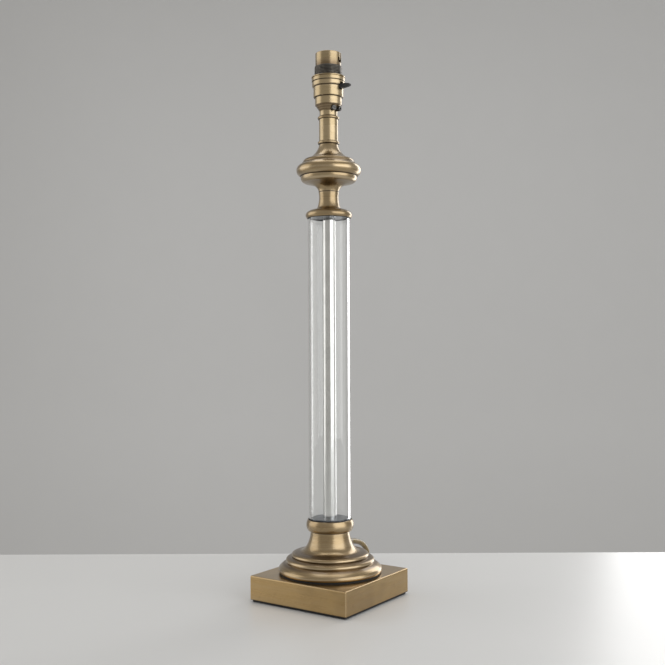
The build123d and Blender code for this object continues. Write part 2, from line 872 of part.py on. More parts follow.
# ---------------------------------------------------------------- flex, from the bush to the plug

cord_pitch = 2 * cord_radius + cord_gap
along = Vector(-sin(radians(hank_turn)), cos(radians(hank_turn)), 0)
across = Vector(cos(radians(hank_turn)), sin(radians(hank_turn)), 0)


def hank_at(side, reach, z):
    """A point of the hank's own frame: side across it, reach along it away from the lamp."""
    return across * side + along * reach + Vector(0, 0, z)


def bend_radii(points):
    """The radius at each corner: as large as the shorter of its two runs allows."""
    radii = []
    for before, corner, after in zip(points, points[1:], points[2:]):
        run_in = corner - before
        run_out = after - corner
        half_turn = radians(run_in.get_angle(run_out)) / 2
        radii.append(0.45 * min(run_in.length, run_out.length) / tan(half_turn))
    return radii


def run_half_width(run):
    """How far the numbered run of the spiral lies from the hank's middle; each half turn draws in."""
    return hank_half_width - run * cord_pitch / 2


low_layer = tie_thick + tie_slack + cord_radius
high_layer = low_layer + cord_pitch
hank_far = hank_near + hank_straight
hank_start = hank_at(hank_half_width, hank_far - hank_lead, low_layer)

# The free stretch leaves the bush, falls behind the foot and lands beside the hank's first run.
cord_points = [
    Vector(*bush_mouth),
    Vector(*bush_mouth) + Vector(*bush_axis) * 16,
    Vector(0, 67.3, 37.6),
    Vector(-6, 79, 23.5),
    Vector(-16.5, 88, 11.5),
    Vector(-27, 97, 5.4),
    hank_at(hank_half_width, hank_near + 2, low_layer),
    hank_start,
]
cord_radii = bend_radii(cord_points)
with BuildPart() as cord:
    with BuildLine() as cord_path:
        FilletPolyline(*cord_points, radius=cord_radii)
    with BuildSketch(bush_plane):
        Circle(cord_radius)
    sweep(path=cord_path.wires()[0])
write(cord, "cord")

# The hank: one tube spirals in on the table, climbs along its innermost run and spirals out on top.
with BuildPart() as cord_hank:
    with BuildLine() as hank_path:
        here = hank_start
        side = 1
        layer = low_layer
        order = list(range(hank_folds + 1)) + list(range(hank_folds - 1, 0, -1))
        for number, (run, following) in enumerate(zip(order, order[1:])):
            turning_at = hank_far if side > 0 else hank_near
            corner = hank_at(side * run_half_width(run), turning_at, layer)
            if number == hank_folds:
                middle = (here + hank_at(side * run_half_width(run), turning_at, high_layer)) / 2
                layer = high_layer
                corner = hank_at(side * run_half_width(run), turning_at, layer)
                first_rise = TangentArc(here, middle, tangent=along * side)
                TangentArc(middle, corner, tangent=first_rise % 1)
            else:
                Line(here, corner)
            here = hank_at(-side * run_half_width(following), turning_at, layer)
            TangentArc(corner, here, tangent=along * side)
            side = -side
        hank_end = here - along * 2 * cord_radius
        Line(here, hank_end)
    with BuildSketch(Plane(origin=hank_start, z_dir=along)):
        Circle(cord_radius)
    sweep(path=hank_path.wires()[0])
write(cord_hank, "cord_hank")

# A flat tie holds the hank's runs together on the side where the flex arrives.
tie_hold = cord_radius + tie_slack
tie_inner = run_half_width(hank_folds) - tie_hold
tie_outer = hank_half_width + tie_hold
tie_low = low_layer - tie_hold
tie_high = high_layer + tie_hold
with BuildPart() as cord_tie:
    tie_place = hank_at((tie_inner + tie_outer) / 2, hank_near - 2, (tie_low + tie_high) / 2)
    with BuildSketch(Plane(origin=tie_place, x_dir=across, z_dir=-along)):
        RectangleRounded(
            tie_outer - tie_inner + 2 * tie_thick, tie_high - tie_low + 2 * tie_thick, tie_hold + tie_thick
        )
        RectangleRounded(tie_outer - tie_inner, tie_high - tie_low, tie_hold, mode=Mode.SUBTRACT)
    extrude(amount=-tie_width)
write(cord_tie, "cord_tie")

# The tail climbs along the last run and folds over the hank into the plug that lies on it.
plug_base_z = high_layer + cord_radius + plug_clearance
plug_split_z = plug_base_z + plug_cover_thick
plug_top_z = plug_split_z + plug_base_thick
grip_z = plug_base_z + 6.4
plug_side = 2 * tail_bend - run_half_width(1)
grip_near = tail_near + 2 * cord_radius
plug_near = grip_near + grip_length
tail_corner = hank_at(-run_half_width(1), tail_near, grip_z)
tail_turned = hank_at(plug_side, tail_near, grip_z)
with BuildPart() as cord_tail:
    with BuildLine() as tail_path:
        tail_middle = (hank_end + tail_corner) / 2
        tail_rise = TangentArc(hank_end, tail_middle, tangent=-along)
        TangentArc(tail_middle, tail_corner, tangent=tail_rise % 1)
        TangentArc(tail_corner, tail_turned, tangent=-along)
        Line(tail_turned, hank_at(plug_side, grip_near, grip_z))
    with BuildSketch(Plane(origin=hank_end, z_dir=-along)):
        Circle(cord_radius)
    sweep(path=tail_path.wires()[0])
write(cord_tail, "cord_tail")

# ---------------------------------------------------------------- plug, its pins up and its flex entry towards the lamp


def plug_plane(z):
    """A level plane over the middle of the plug, X across it and Y towards its nose."""
    return Plane(origin=hank_at(plug_side, plug_near + plug_length / 2, z), x_dir=across, z_dir=(0, 0, 1))


def plug_face(inset):
    """The plug's rounded outline, narrower at the flex entry than at the earth pin."""
    half_wide = plug_width / 2 - inset
    half_long = plug_length / 2 - inset
    with BuildSketch(Plane.XY) as face:
        with BuildLine():
            Polyline(
                (-half_wide * 0.52, -half_long),
                (half_wide * 0.52, -half_long),
                (half_wide, -half_long * 0.35),
                (half_wide, half_long),
                (-half_wide, half_long),
                (-half_wide, -half_long * 0.35),
                (-half_wide * 0.52, -half_long),
            )
        make_face()
        fillet(face.vertices().group_by(Axis.Y)[-1], plug_corner)
        fillet(face.vertices().group_by(Axis.Y)[0], 3.0)
        fillet(face.vertices().filter_by(lambda v: abs(v.Y + half_long * 0.35) < 0.01), 9.0)
    return face.sketch


with BuildPart() as plug_cover:
    with BuildSketch(plug_plane(plug_base_z)):
        add(plug_face(0))
    extrude(amount=plug_cover_thick)
    fillet(plug_cover.faces().sort_by(Axis.Z)[0].edges(), 2.5)
    with BuildSketch(Plane(origin=hank_at(plug_side, plug_near, grip_z), z_dir=along)):
        Circle(grip_radius - 1.2)
    extrude(amount=grip_length, mode=Mode.SUBTRACT)
write(plug_cover, "plug_cover")

with BuildPart() as plug_base:
    with BuildSketch(plug_plane(plug_split_z)):
        add(plug_face(0.4))
    extrude(amount=plug_base_thick)
    fillet(plug_base.faces().sort_by(Axis.Z)[-1].edges(), 1.2)
    with BuildSketch(plug_plane(plug_top_z)):
        with Locations((pin_spread / 2, pin_row - plug_length / 2), (-pin_spread / 2, pin_row - plug_length / 2)):
            Rectangle(pin_width, pin_thick)
        with Locations((0, pin_row + pin_spread - plug_length / 2)):
            Rectangle(pin_thick, earth_pin_width)
        with Locations((0, pin_row + 9.5 - plug_length / 2)):
            Circle(plug_screw_radius)
    extrude(amount=-pin_root, mode=Mode.SUBTRACT)
write(plug_base, "plug_base")

for name, place, size, length in (
    ("plug_pin_live", (pin_spread / 2, pin_row - plug_length / 2), (pin_width, pin_thick), pin_length),
    ("plug_pin_neutral", (-pin_spread / 2, pin_row - plug_length / 2), (pin_width, pin_thick), pin_length),
    ("plug_pin_earth", (0, pin_row + pin_spread - plug_length / 2), (pin_thick, earth_pin_width), earth_pin_length),
):
    with BuildPart() as pin:
        with BuildSketch(plug_plane(plug_top_z - pin_root)):
            with Locations(place):
                Rectangle(*size)
        extrude(amount=pin_root + length)
        chamfer(pin.faces().sort_by(Axis.Z)[-1].edges(), 0.8)
    write(pin, name)

with BuildPart() as plug_screw:
    with BuildSketch(plug_plane(plug_top_z - pin_root)):
        with Locations((0, pin_row + 9.5 - plug_length / 2)):
            Circle(plug_screw_radius - 0.1)
    extrude(amount=pin_root - 0.8)
    with BuildSketch(plug_plane(plug_top_z - 0.8)):
        with Locations((0, pin_row + 9.5 - plug_length / 2)):
            Rectangle(2 * plug_screw_radius, 0.8)
    extrude(amount=-0.9, mode=Mode.SUBTRACT)
write(plug_screw, "plug_screw")

with BuildPart() as plug_grip:
    with BuildSketch(Plane(origin=hank_at(plug_side, grip_near, grip_z), z_dir=along)):
        Circle(grip_radius - 0.8)
    with BuildSketch(Plane(origin=hank_at(plug_side, plug_near, grip_z), z_dir=along)):
        Circle(grip_radius)
    loft()
    with BuildSketch(Plane(origin=hank_at(plug_side, plug_near, grip_z), z_dir=along)):
        Circle(grip_radius - 1.25)
    extrude(amount=grip_length - 0.5)
write(plug_grip, "plug_grip")

# ---------------------------------------------------------------- the flex's own measures

hank_wire = hank_path.wires()[0]
steps = int(hank_wire.length / 3)
spots = [hank_wire @ (step / steps) for step in range(steps + 1)]
skip = int(12 * cord_radius / 3)
least = min((a - b).length for i, a in enumerate(spots) for b in spots[i + skip :])
print("cord bend radii", [round(radius, 1) for radius in cord_radii])
print("hank's least gap to itself", round(least - 2 * cord_radius, 2))
lengths = [path.wires()[0].length for path in (inner_path, cord_path, hank_path, tail_path)]
print("flex lengths: inside, free, hank, tail", [round(length) for length in lengths])
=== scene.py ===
"""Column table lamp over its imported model: finishes, thread, flex and a plain studio. Metres, +Z up."""

import bpy
import bmesh
from math import cos, pi, radians, sin
from mathutils import Matrix, Vector


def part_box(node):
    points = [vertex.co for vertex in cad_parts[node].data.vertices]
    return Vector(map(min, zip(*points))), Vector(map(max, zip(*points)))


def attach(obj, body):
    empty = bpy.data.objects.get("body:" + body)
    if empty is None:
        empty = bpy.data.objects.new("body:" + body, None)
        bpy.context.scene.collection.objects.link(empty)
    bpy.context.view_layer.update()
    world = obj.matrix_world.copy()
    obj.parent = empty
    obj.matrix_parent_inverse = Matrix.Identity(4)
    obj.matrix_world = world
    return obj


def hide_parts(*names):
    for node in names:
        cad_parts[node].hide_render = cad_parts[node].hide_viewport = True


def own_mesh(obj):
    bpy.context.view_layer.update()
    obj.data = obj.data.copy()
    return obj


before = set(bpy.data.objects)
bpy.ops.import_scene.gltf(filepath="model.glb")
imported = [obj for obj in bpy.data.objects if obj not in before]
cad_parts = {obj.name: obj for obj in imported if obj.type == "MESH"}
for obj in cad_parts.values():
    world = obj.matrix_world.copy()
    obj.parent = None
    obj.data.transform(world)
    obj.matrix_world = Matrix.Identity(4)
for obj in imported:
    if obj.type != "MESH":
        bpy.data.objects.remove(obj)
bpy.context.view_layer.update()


# ---------------------------------------------------------------- view
# The lamp is seen from a little right of its front corner, level with the lower half of the glass,
# from just under a metre away. RIGHT and AWAY are the view's own level directions.

PHOTO_SIDE = 665
FOCAL_PIXELS = 938.0
SENSOR_WIDTH = 36.0
NEAR_CLIP = 0.01
VIEW_TURN = radians(34.7)
CAMERA_AWAY = 0.938
CAMERA_ASIDE = 0.0032
CAMERA_HEIGHT = 0.2504
CAMERA_PITCH = radians(0.81)
CAMERA_ROLL = radians(0.22)
RIGHT = Vector((cos(VIEW_TURN), sin(VIEW_TURN), 0))
AWAY = Vector((-sin(VIEW_TURN), cos(VIEW_TURN), 0))
UP = Vector((0, 0, 1))


def show(name, data):
    """Put new data into the scene as an object."""
    made = bpy.data.objects.new(name, data)
    bpy.context.collection.objects.link(made)
    return made


lens = bpy.data.cameras.new("camera")
lens.sensor_width = SENSOR_WIDTH
lens.lens = FOCAL_PIXELS / PHOTO_SIDE * lens.sensor_width
lens.clip_start = NEAR_CLIP
camera = show("camera", lens)
forward = AWAY * cos(CAMERA_PITCH) + UP * sin(CAMERA_PITCH)
rolled_up = RIGHT.cross(forward) * cos(CAMERA_ROLL) + RIGHT * sin(CAMERA_ROLL)
camera_turn = Matrix((forward.cross(rolled_up), rolled_up, -forward)).transposed().to_4x4()
camera_place = RIGHT * CAMERA_ASIDE - AWAY * CAMERA_AWAY + UP * CAMERA_HEIGHT
camera.matrix_world = Matrix.Translation(camera_place) @ camera_turn
bpy.context.scene.camera = camera


# ---------------------------------------------------------------- plinth
# A square box folded from brass sheet, brushed along its sides and then browned and lacquered.
# It is worn pale along its edges. Its iron weight, nut, washer and rubber pad are out of sight beneath.

MIX_AMOUNT, MIX_LOW, MIX_HIGH = 0, 6, 7
MIX_COLOUR = 2


class Value:
    """One shader output that takes part in ordinary arithmetic."""

    def __init__(self, finish, socket):
        self.finish = finish
        self.socket = socket

    def math(self, operation, *others):
        terms = dict(enumerate((self, *others)))
        return self.finish.node("ShaderNodeMath", {"operation": operation}, terms)

    def __add__(self, other):
        return self.math("ADD", other)

    def __sub__(self, other):
        return self.math("SUBTRACT", other)

    def __mul__(self, other):
        return self.math("MULTIPLY", other)

    def __truediv__(self, other):
        return self.math("DIVIDE", other)

    def __abs__(self):
        return self.math("ABSOLUTE")

    def __rsub__(self, other):
        return self * -1.0 + other

    def highest(self, other):
        return self.math("MAXIMUM", other)

    def rise(self, start, end):
        """0 below start and 1 above end, eased between."""
        sockets = {"Value": self, "From Min": start, "From Max": end}
        return self.finish.node("ShaderNodeMapRange", {"interpolation_type": "SMOOTHSTEP"}, sockets)

    def fall(self, start, end):
        """1 below start and 0 above end, eased between."""
        return 1.0 - self.rise(start, end)


class Finish:
    """A node material round one Principled shader, in the lamp's own coordinates."""

    def __init__(self, name, **constants):
        self.material = bpy.data.materials.new(name)
        self.material.use_nodes = True
        self.tree = self.material.node_tree
        self.shader = self.tree.nodes["Principled BSDF"]
        for socket, constant in constants.items():
            self.shader.inputs[socket.replace("_", " ")].default_value = constant
        place = self.node("ShaderNodeTexCoord", {}, {}, "Object")
        self.x, self.y, self.z = self.split(place)
        self.radius = (self.x * self.x + self.y * self.y).math("SQRT")
        self.up = self.split(self.node("ShaderNodeNewGeometry", {}, {}, "Normal"))[2]

    def node(self, kind, settings, sockets, output=0):
        made = self.tree.nodes.new(kind)
        for setting, value in settings.items():
            setattr(made, setting, value)
        for socket, value in sockets.items():
            if isinstance(value, Value):
                self.tree.links.new(value.socket, made.inputs[socket])
            else:
                made.inputs[socket].default_value = value
        return Value(self, made.outputs[output])

    def split(self, vector):
        first = self.node("ShaderNodeSeparateXYZ", {}, {0: vector})
        return [Value(self, out) for out in first.socket.node.outputs]

    def noise(self, x, y, z, detail=3.0, roughness=0.55):
        """Noise over any three coordinates, already scaled."""
        place = self.node("ShaderNodeCombineXYZ", {}, {0: x, 1: y, 2: z})
        sockets = {"Vector": place, "Scale": 1.0, "Detail": detail, "Roughness": roughness}
        return self.node("ShaderNodeTexNoise", {}, sockets)

    def cloud(self, size, detail=3.0, roughness=0.55):
        """Noise with features about size metres across."""
        return self.noise(self.x / size, self.y / size, self.z / size, detail, roughness)

    def mix(self, amount, low, high):
        """A colour between low and high."""
        low, high = [end if isinstance(end, Value) else (*end, 1.0) for end in (low, high)]
        sockets = {MIX_AMOUNT: amount, MIX_LOW: low, MIX_HIGH: high}
        return self.node("ShaderNodeMix", {"data_type": "RGBA"}, sockets, MIX_COLOUR)

    def bump(self, height, depth):
        """Relief of the given depth in metres where height runs from 0 to 1."""
        sockets = {"Strength": 1.0, "Distance": depth, "Height": height}
        self.feed("Normal", self.node("ShaderNodeBump", {}, sockets))

    def feed(self, socket, value):
        self.tree.links.new(value.socket, self.shader.inputs[socket])

    def onto(self, *names):
        """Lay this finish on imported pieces."""
        for name in names:
            for slot in bpy.data.objects[name].material_slots:
                slot.material = self.material


BRASS = (0.335, 0.243, 0.128)
BRASS_WORN = (0.52, 0.415, 0.270)
PALE_BRASS = (0.40, 0.308, 0.172)
SHEET_BRASS = (0.46, 0.308, 0.130)
# A tarnish brown, used for real browning and stains and also as the colour of the painted shade.
TARNISH_AND_SHADE = (0.14, 0.092, 0.048)
PATINA = (0.045, 0.030, 0.018)
WORN_EDGE = 0.0011
GROOVE_REACH = 0.0020
JOINT_REACH = 0.0009
BROWNING = 0.28
STAINING = 0.30
LINE_SHADE = 0.22
SPECKLING = 0.40
GROOVE_SHADE = 0.90
EDGE_WEAR = 0.65
JOINT_DIRT = 0.85
SATIN = 0.17
BRUSH_DEPTH = 0.000035
TURNED_LINES = 2200
TURNED_DRIFTS = 140
BRUSHED_LINES = 2600
BRUSHED_DRIFTS = 160
BRUSHED_ALONG = 9


def turned_lines(m):
    """Fine lines that a lathe leaves round the column's axis."""
    return m.noise(m.radius * TURNED_LINES, m.z * TURNED_LINES, m.x * 31 + m.y * 23, 4.0, 0.7)


def drifts(m):
    """Slow changes of tone that run round a turned piece."""
    return m.noise(m.radius * TURNED_DRIFTS, m.z * TURNED_DRIFTS, m.x * 17 + m.y * 13, 4.0, 0.6)


def pulses(m, heights, reach):
    """1 at each of the given heights, fading over reach on both sides."""
    total = abs(m.z - heights[0]).fall(0.0, reach)
    for height in heights[1:]:
        total = total.highest(abs(m.z - height).fall(0.0, reach))
    return total


def aged_brass(name, base=BRASS, pale=0.40, lines=turned_lines, tone=drifts, **places):
    """Satin brass: worn pale where hands reach, darkened with painted shade round given heights such as
    each groove, and dark at the joints.
    """
    m = Finish(name, Metallic=1.0, Coat_Roughness=0.12)
    streak = lines(m)
    drift = tone(m)
    stain = m.cloud(0.008, 5.0, 0.65).rise(0.58, 0.80)
    speck = m.cloud(0.0009, 2.0, 0.5).rise(0.70, 0.80)
    colour = m.mix(drift.rise(0.40, 0.66) * pale, base, BRASS_WORN)
    colour = m.mix(m.cloud(0.045, 2.0).rise(0.45, 0.75) * BROWNING, colour, TARNISH_AND_SHADE)
    colour = m.mix(stain * STAINING, colour, TARNISH_AND_SHADE)
    colour = m.mix((streak - 0.5).rise(0.02, 0.22) * LINE_SHADE, colour, TARNISH_AND_SHADE)
    colour = m.mix(speck * SPECKLING, colour, PATINA)
    rough = streak * 0.14 + drift * 0.10 + stain * 0.14 + SATIN
    # Painted shade: a dark band round each given height, in the tarnish colour, with a little more
    # roughness.
    if "grooves" in places:
        shade = pulses(m, places["grooves"], GROOVE_REACH)
        colour = m.mix(shade * GROOVE_SHADE, colour, TARNISH_AND_SHADE)
        rough = rough + shade * 0.12
    if "worn" in places:
        colour = m.mix(places["worn"](m) * EDGE_WEAR, colour, BRASS_WORN)
    if "joints" in places:
        dirt = (pulses(m, places["joints"], JOINT_REACH) * 1.2 - m.cloud(0.003) * 0.35).rise(0.05, 0.80)
        colour = m.mix(dirt * JOINT_DIRT, colour, PATINA)
        rough = rough + dirt * 0.25
    m.feed("Base Color", colour)
    m.feed("Roughness", rough)
    m.feed("Coat Weight", 0.5 - stain * 0.35)
    m.bump(streak * 0.7 + drift * 0.3, BRUSH_DEPTH)
    return m


def straight_lines(m):
    """Brushing along each side of the plinth, and along X on its top."""
    x, y, z = [part * BRUSHED_ALONG for part in (m.x, m.y, m.z)]
    side = m.noise(x + y, m.z * BRUSHED_LINES, m.x * 4, 4.0, 0.7)
    top = m.noise(x, m.y * BRUSHED_LINES, z, 4.0, 0.7)
    flat = m.up.rise(0.6, 0.8)
    return side * (1.0 - flat) + top * flat


def straight_drifts(m):
    """Slow changes of tone drawn out along the brushing."""
    return m.noise((m.x + m.y) * 11, m.z * BRUSHED_DRIFTS + m.y * 5, m.x * 6, 4.0, 0.6)


def side_wear(m):
    """The pale line along the plinth's top and corner edges."""
    low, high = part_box("plinth_cover")
    across = abs(m.x)
    along = abs(m.y)
    outermost = across.highest(along)
    second = across + along - outermost
    rim = outermost.rise(high[0] - WORN_EDGE, high[0]) * (high[2] - m.z).fall(0.0, WORN_EDGE)
    return rim.highest(second.rise(high[0] - WORN_EDGE, high[0]))


def ends(name):
    """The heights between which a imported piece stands."""
    low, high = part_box(name)
    return low[2], high[2]


pad_top = ends("base_pad")[1]
aged_brass(
    "brass_plinth",
    base=SHEET_BRASS,
    pale=0.16,
    lines=straight_lines,
    tone=straight_drifts,
    joints=[pad_top],
    worn=side_wear,
).onto("plinth_cover")


RUB_GAIN = 1.5
DUST_LIGHT = 0.012
DULLED = 0.72


def moulding(name, base, rough, grain, depth, **extra):
    """Moulded plastic, rubber or cast iron: an even grain, with a little dust and rub."""
    m = Finish(name, **extra)
    fine = m.cloud(grain, 3.0, 0.6)
    rub = m.cloud(0.012, 4.0, 0.6)
    paler = tuple(part * RUB_GAIN + DUST_LIGHT for part in base)
    m.feed("Base Color", m.mix(rub.rise(0.45, 0.8) * 0.6, base, paler))
    m.feed("Roughness", fine * 0.16 + rub * 0.12 + rough)
    m.bump(fine, depth)
    return m


moulding("cast_iron", (0.05, 0.05, 0.052), 0.55, 0.0016, 0.00020, Metallic=0.6).onto("plinth_weight")
rubber = moulding("black_rubber", (0.013, 0.013, 0.014), 0.62, 0.0009, 0.00006)
rubber.onto("base_pad", "bell_gasket")


def bright_metal(name, base, rough, lines):
    """Plain metal off the machine, a little dulled."""
    m = Finish(name, Metallic=1.0)
    streak = lines(m)
    dull = m.cloud(0.02, 4.0, 0.6)
    dark = tuple(DULLED * part for part in base)
    m.feed("Base Color", m.mix(dull.rise(0.35, 0.8) * 0.5 + streak * 0.2, base, dark))
    m.feed("Roughness", streak * 0.12 + dull * 0.08 + rough)
    m.bump(streak, 0.00002)
    return m


plated = bright_metal("plated_steel", (0.17, 0.160, 0.140), 0.30, turned_lines)
plated.onto("threaded_rod", "base_nut", "base_washer")


# ---------------------------------------------------------------- bell and lower collar
# A spun brass bell on the plinth, with a rolled skirt and two turned rings under its hollow neck.
# A heavy round collar sits on it, and cups the foot of the glass on a rubber gasket.

# Painted shade is laid in each groove between the bell's skirt, rings and neck.
BELL_RIDGES = (0.0022, 0.0113, 0.0163)
BELL_SHADED_GROOVES = (0.0082, 0.0141, 0.0192)
RIDGE_WEAR_REACH = 0.0013
bell_low, bell_high = ends("foot_bell")


def skirt_wear(m):
    """The pale lines along the crests of the skirt and its rings."""
    return pulses(m, [bell_low + height for height in BELL_RIDGES], RIDGE_WEAR_REACH)


aged_brass(
    "brass_bell",
    joints=[bell_low, bell_high],
    grooves=[bell_low + height for height in BELL_SHADED_GROOVES],
    worn=skirt_wear,
).onto("foot_bell")
aged_brass("brass_lower_collar", joints=[ends("lower_collar")[0]]).onto("lower_collar")
rubber.onto("lower_gasket", "upper_gasket")


# ---------------------------------------------------------------- glass column and the tube inside it
# A clear glass tube stands between two turned discs. A drawn bright tube on the axis hides the
# threaded rod that pulls the lamp together, and the flex that runs up inside it.

GLASS_WALL = 0.0020
DRAWN_WALL = 0.0010
TUBE_STEPS = 192
RIM_ROUNDING = 0.0003
LEVEL_FACE = 0.1
SHARP_ANGLE = radians(30)


def make_tube(name, stands_for, wall):
    """A packed tube drawn again in fine steps, with rounded rims, so that its highlights run straight."""
    low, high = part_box(stands_for)
    outer = high[0]
    inner = outer - wall
    soft = RIM_ROUNDING
    section = [
        (outer, low[2] + soft),
        (outer, high[2] - soft),
        (outer - soft, high[2]),
        (inner + soft, high[2]),
        (inner, high[2] - soft),
        (inner, low[2] + soft),
        (inner + soft, low[2]),
        (outer - soft, low[2]),
    ]
    mesh = bmesh.new()
    rings = []
    for radius, z in section:
        turns = [2 * pi * step / TUBE_STEPS for step in range(TUBE_STEPS)]
        rings.append([mesh.verts.new((radius * cos(turn), radius * sin(turn), z)) for turn in turns])
    for below, above in zip(rings, rings[1:] + rings[:1]):
        for step in range(TUBE_STEPS):
            following = (step + 1) % TUBE_STEPS
            mesh.faces.new((below[step], below[following], above[following], above[step]))
    bmesh.ops.recalc_face_normals(mesh, faces=mesh.faces)
    for face in mesh.faces:
        face.smooth = abs(face.normal.z) < LEVEL_FACE
    for edge in mesh.edges:
        edge.smooth = edge.calc_face_angle() < SHARP_ANGLE
    data = bpy.data.meshes.new(name)
    mesh.to_mesh(data)
    tube = show(name, data)
    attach(tube, "lamp")
    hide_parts(stands_for)
    return tube


GLASS_TINT = (0.980, 0.985, 0.983, 1)
glass = Finish("clear_glass", Transmission_Weight=1.0, IOR=1.46, Base_Color=GLASS_TINT)
dust = glass.cloud(0.0007, 2.0).rise(0.76, 0.84)
glass.feed("Roughness", dust * 0.008)
column = make_tube("glass_column", "glass_tube", GLASS_WALL)
column.data.materials.append(glass.material)


def drawn_lines(m):
    """Fine lines along the tube, as a drawing die leaves them."""
    return m.noise(m.x * 1500, m.y * 1500, m.z * 3, 3.0, 0.6)


drawn = bright_metal("drawn_tube", (0.74, 0.74, 0.73), 0.03, drawn_lines)
rod_tube = make_tube("bright_tube", "centre_tube", DRAWN_WALL)
rod_tube.data.materials.append(drawn.material)
disc_alloy = bright_metal("turned_alloy", (0.12, 0.135, 0.155), 0.22, turned_lines)
disc_alloy.onto("lower_seat_disc", "upper_seat_disc")


# ---------------------------------------------------------------- upper collar, waist, knop and neck
# Turned brass pieces threaded on the rod over the glass: a collar like the lower one, a bead and a
# waist, a knop in two halves, and the neck between two rings.

aged_brass("brass_upper_collar", joints=[ends("upper_collar")[1]]).onto("upper_collar")
aged_brass("brass_bead", joints=[ends("waist_bead")[0]]).onto("waist_bead")
aged_brass("brass_waist", joints=[ends("waist")[1]]).onto("waist")
KNOP_RIDGES = (0.0054, -0.0042)
# Painted shade is laid in two groove lines on the knop's upper half.
KNOP_SHADED_GROOVES = (0.0134, 0.0172)
KNOP_WEAR_REACH = 0.0014
knop_seam, knop_high = ends("knop_upper")


def knop_wear(m):
    """The pale lines along the widest edges of the knop's two halves."""
    return pulses(m, [knop_seam + height for height in KNOP_RIDGES], KNOP_WEAR_REACH)


aged_brass(
    "brass_knop",
    joints=[knop_seam, ends("knop_lower")[0], knop_high],
    grooves=[knop_seam + height for height in KNOP_SHADED_GROOVES],
    worn=knop_wear,
).onto("knop_lower", "knop_upper")
for piece in ("lower_neck_ring", "upper_neck_ring"):
    aged_brass("brass_" + piece, joints=ends(piece)).onto(piece)
aged_brass("brass_neck", base=PALE_BRASS).onto("neck_tube", "top_spacer")


# ---------------------------------------------------------------- lampholder
# A brass bayonet lampholder: a cap with its earth screw and terminal, a body, and a barrel with two
# slots round a black insert. The shade ring screws up the dark thread below the barrel.

# A broad band of painted shade darkens the lower part of the cap, round its cone.
CAP_SHADE_HEIGHTS = (0.001, 0.003, 0.005)
HOLDER_BAND = 0.0052
BARREL_WALL = 0.0007
WALL_FADE = 0.0003
BROWNED_FROM = 0.002
BROWNED_TO = 0.0090
cap_low, cap_high = ends("holder_cap")
aged_brass(
    "brass_holder_cap",
    base=PALE_BRASS,
    joints=[cap_high],
    grooves=[cap_low + height for height in CAP_SHADE_HEIGHTS],
).onto("holder_cap")
body_low, body_high = ends("holder_body")
body_joints = [body_low, body_high - HOLDER_BAND]
aged_brass("brass_holder_body", base=PALE_BRASS, joints=body_joints).onto("holder_body")
aged_brass("brass_shade_ring", base=PALE_BRASS, joints=ends("shade_ring")).onto("shade_ring")

barrel = aged_brass("brass_barrel", base=PALE_BRASS)
wall_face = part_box("holder_barrel")[1][0] - BARREL_WALL
outside = barrel.radius.rise(wall_face, wall_face + WALL_FADE)
polished = Value(barrel, barrel.shader.inputs["Base Color"].links[0].from_socket)
thread_top = ends("thread_sleeve")[1]
browned = (barrel.z + barrel.cloud(0.004) * 0.003).fall(thread_top + BROWNED_FROM, thread_top + BROWNED_TO)
polished = barrel.mix(browned * 0.85, polished, TARNISH_AND_SHADE)
barrel.feed("Base Color", barrel.mix(outside, TARNISH_AND_SHADE, polished))
barrel.onto("holder_barrel")

THREAD_PITCH = 0.0014
THREAD_DEPTH = 0.00060
THREAD_WALL = 0.0009
THREAD_STEPS = 72
ROWS_PER_TURN = 8
THREAD_RUN_OUT = 0.0008
THREAD_LEAD_IN = 0.0003


def thread_radius(crest, z, angle, low, high):
    """The thread's outside at one point: rounded crests that die away at both ends."""
    wave = cos(2 * pi * (z - low) / THREAD_PITCH - angle)
    fade = max(0.0, min(1.0, (high - z) / THREAD_RUN_OUT, (z - low) / THREAD_LEAD_IN))
    return crest - THREAD_DEPTH / 2 * ((1 - wave) * fade + 1 - fade)


def make_thread():
    """A tube whose outside winds up in shallow rounded crests."""
    low, high = ends("thread_sleeve")
    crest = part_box("thread_sleeve")[1][0]
    rows = int((high - low) / THREAD_PITCH * ROWS_PER_TURN)
    outside = [low + (high - low) * row / rows for row in range(rows + 1)]
    mesh = bmesh.new()
    rings = []
    for place, z in enumerate([*outside, high, low]):
        ring = []
        for step in range(THREAD_STEPS):
            angle = 2 * pi * step / THREAD_STEPS
            bore = place > rows
            radius = crest - THREAD_WALL if bore else thread_radius(crest, z, angle, low, high)
            ring.append(mesh.verts.new((radius * cos(angle), radius * sin(angle), z)))
        rings.append(ring)
    rings.append(rings[0])
    for below, above in zip(rings, rings[1:]):
        for step in range(THREAD_STEPS):
            following = (step + 1) % THREAD_STEPS
            face = mesh.faces.new((below[step], below[following], above[following], above[step]))
            face.smooth = True
    data = bpy.data.meshes.new("holder_thread")
    bmesh.ops.recalc_face_normals(mesh, faces=mesh.faces)
    mesh.to_mesh(data)
    return show("holder_thread", data)


thread = make_thread()
bronze = Finish("dark_bronze", Metallic=0.9)
rubbed = bronze.cloud(0.004, 4.0, 0.6).rise(0.40, 0.75)
crests = (bronze.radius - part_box("thread_sleeve")[1][0] + THREAD_DEPTH).rise(0.0, THREAD_DEPTH)
bronze_tone = rubbed * 0.4 + crests * 0.45
bronze.feed("Base Color", bronze.mix(bronze_tone, (0.055, 0.050, 0.045), (0.27, 0.25, 0.22)))
bronze.feed("Roughness", rubbed * 0.15 + 0.36)
bronze.bump(bronze.cloud(0.0008, 2.0), 0.00003)
thread.data.materials.append(bronze.material)
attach(thread, "lamp")
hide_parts("thread_sleeve")

